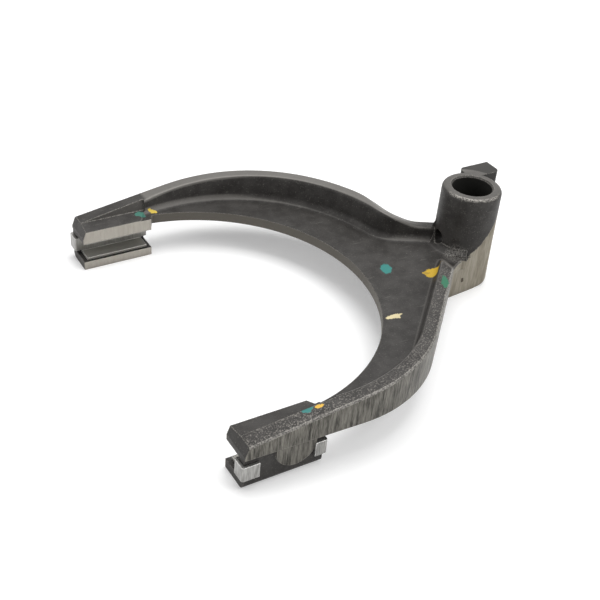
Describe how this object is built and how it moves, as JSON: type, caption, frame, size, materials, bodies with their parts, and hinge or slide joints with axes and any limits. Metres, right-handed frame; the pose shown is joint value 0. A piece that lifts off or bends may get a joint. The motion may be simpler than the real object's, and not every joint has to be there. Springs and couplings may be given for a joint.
{
  "type": "shift fork",
  "caption": "Forged C-shaped gearbox shift fork: flanged arms on an upright rail boss, with slotted claw tips lined by clip-in channel liners.",
  "frame": {"origin": "on the rail bore's axis, in the plane that the boss and the lower jaws rest on", "axes": "+Z along the rail bore, -X towards the claw tips, +Y towards the far arm"},
  "size_m": [0.1572, 0.1507, 0.0425],
  "materials": {
    "forged_body": "fine-grained dark scale, with brushed trim and jaw faces",
    "liner_strip": "bright rolled strip"
  },
  "bodies": {
    "root": {"fork_forging": "forged_body", "far_slot_liner": "liner_strip", "near_slot_liner": "liner_strip"}
  },
  "joints": []
}
